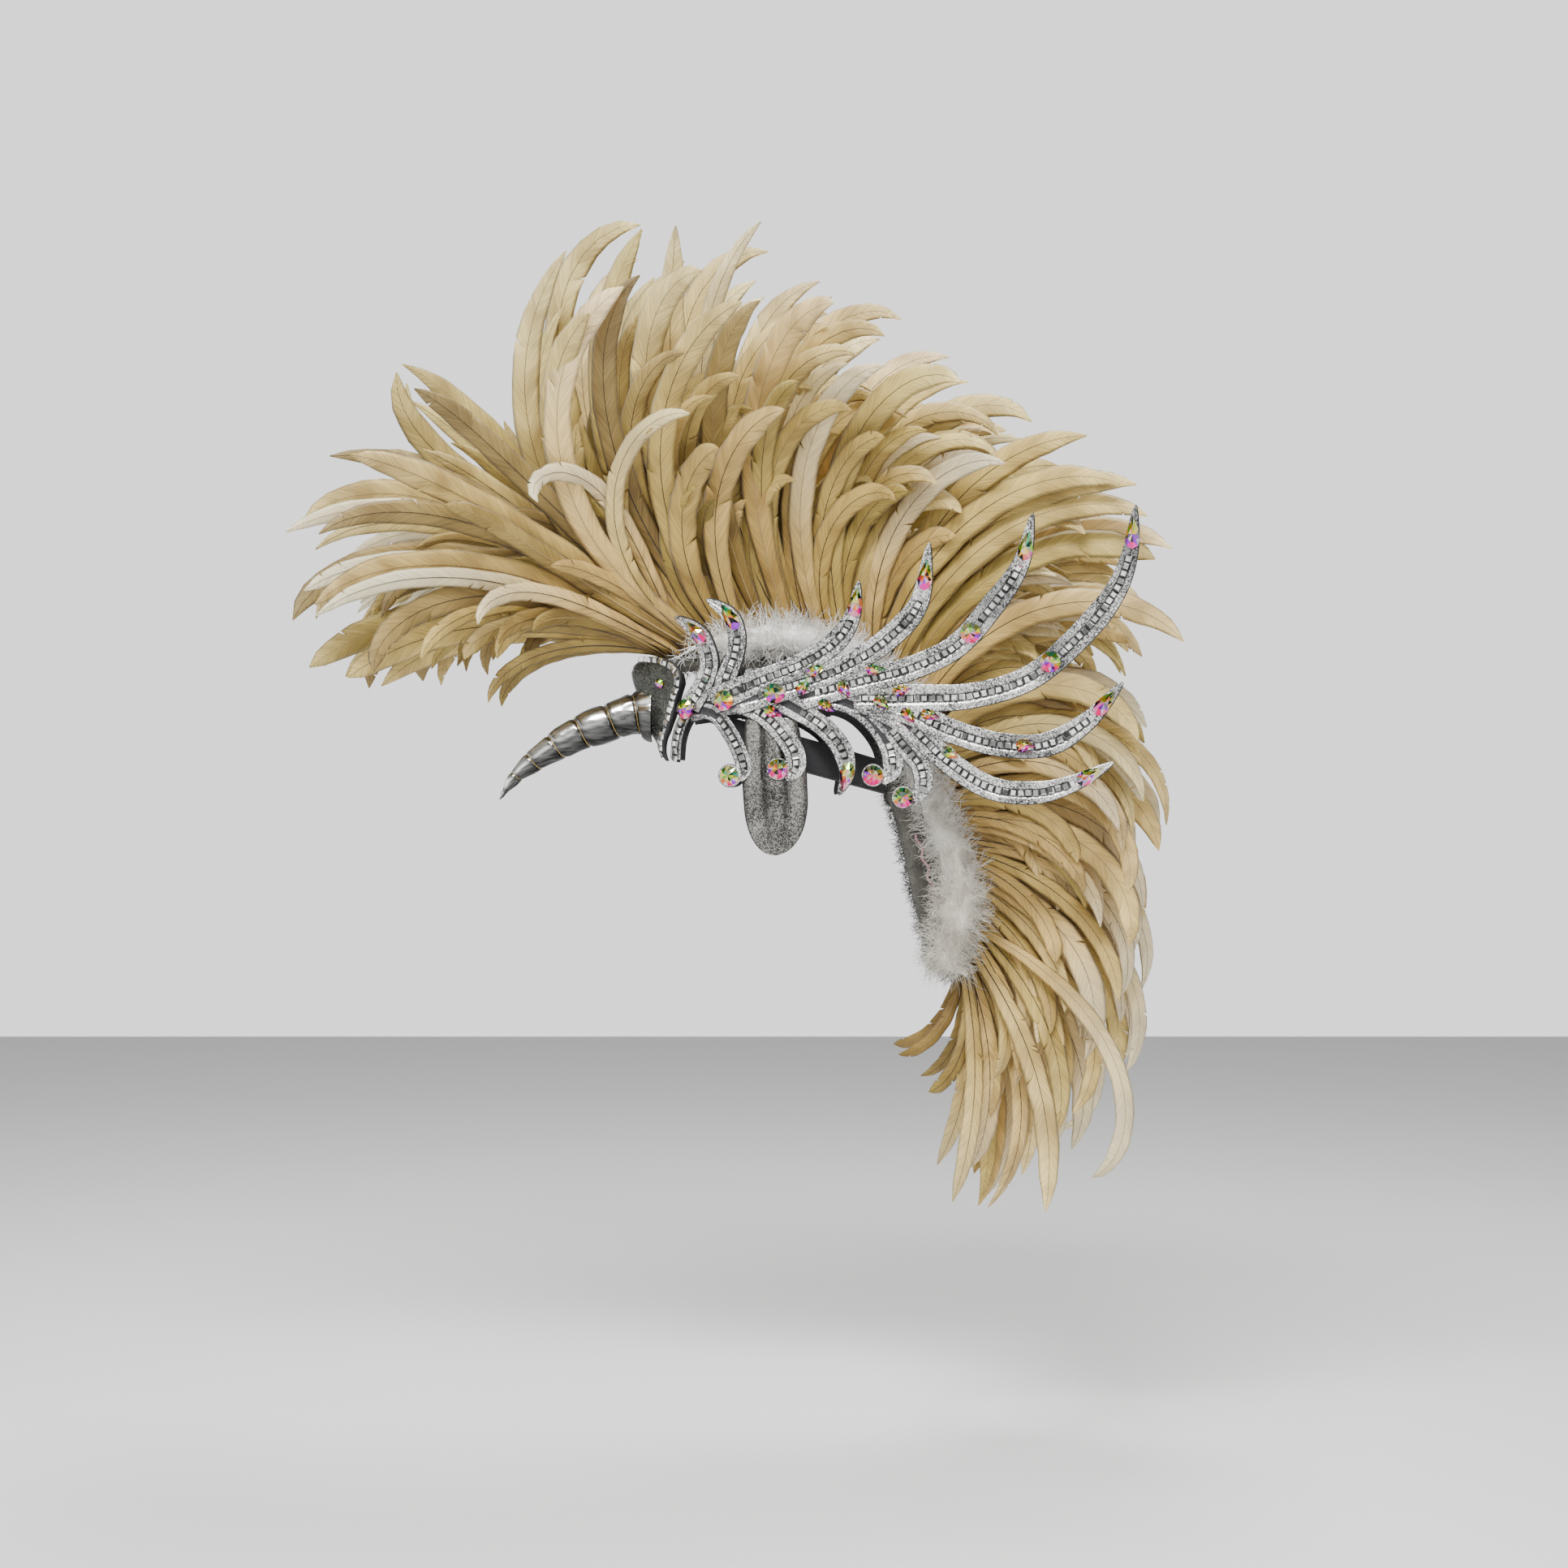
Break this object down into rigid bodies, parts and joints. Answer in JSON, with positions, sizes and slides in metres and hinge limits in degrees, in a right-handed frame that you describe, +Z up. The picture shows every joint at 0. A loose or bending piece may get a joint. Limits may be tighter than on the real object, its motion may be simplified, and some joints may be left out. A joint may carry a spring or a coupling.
{
  "type": "feathered headdress",
  "caption": "Tall crest of cream rooster tail feathers on a padded spine over a head band, with a wound silver horn and glittering scroll wings set with cut crystals.",
  "frame": {"origin": "The middle of the head band's loop, on the symmetry plane.", "axes": "+X is the wearer's left, -Y is where the wearer faces, +Z is up along the standing wearer."},
  "size_m": [0.4237, 0.7869, 0.8749],
  "materials": {
    "elastic": "plain black velvet elastic",
    "plush": "grey white plush over padding",
    "marabou": "white down with a warm grey shade",
    "feather": "cream to golden tan vanes with dark quills",
    "pewter_foam": "dark grey glitter foam",
    "glitter_foam": "silver glitter foam with black cut edges",
    "silver_foil": "soft silver foil fabric",
    "square_crystals": "small square mirror stones in rows",
    "crystal": "cut crystal with a green, yellow and pink sheen"
  },
  "bodies": {
    "root": {"head_band": "elastic", "crest_spine": "plush", "forehead_plate": "pewter_foam", "plate_trim": "square_crystals", "horn": "silver_foil", "feathers_front": "feather", "feathers_crown": "feather", "feathers_rear": "feather", "feathers_back": "feather", "feathers_tail": "feather", "marabou_left": "marabou", "marabou_right": "marabou", "wing_left": "glitter_foam", "wing_right": "glitter_foam", "stone_trim_left": "square_crystals", "stone_trim_right": "square_crystals", "ear_flap_left": "pewter_foam", "ear_flap_right": "pewter_foam", "brow_stone_left": "crystal", "brow_stone_right": "crystal", "temple_stone_left": "crystal", "temple_stone_right": "crystal", "side_stone_left": "crystal", "side_stone_right": "crystal", "third_blade_mid_stone_left": "crystal", "third_blade_mid_stone_right": "crystal", "great_blade_mid_stone_left": "crystal", "great_blade_mid_stone_right": "crystal", "temple_curl_stone_left": "crystal", "temple_curl_stone_right": "crystal", "ear_curl_stone_left": "crystal", "ear_curl_stone_right": "crystal", "drop_stone_left": "crystal", "drop_stone_right": "crystal", "middle_curl_stone_left": "crystal", "middle_curl_stone_right": "crystal", "nape_curl_stone_left": "crystal", "nape_curl_stone_right": "crystal", "front_flame_stone_left": "crystal", "front_flame_stone_right": "crystal", "second_flame_stone_left": "crystal", "second_flame_stone_right": "crystal", "low_blade_stone_left": "crystal", "low_blade_stone_right": "crystal", "level_blade_stone_left": "crystal", "level_blade_stone_right": "crystal", "great_blade_stone_left": "crystal", "great_blade_stone_right": "crystal", "third_blade_stone_left": "crystal", "third_blade_stone_right": "crystal", "second_blade_stone_left": "crystal", "second_blade_stone_right": "crystal", "first_blade_stone_left": "crystal", "first_blade_stone_right": "crystal"}
  },
  "joints": []
}
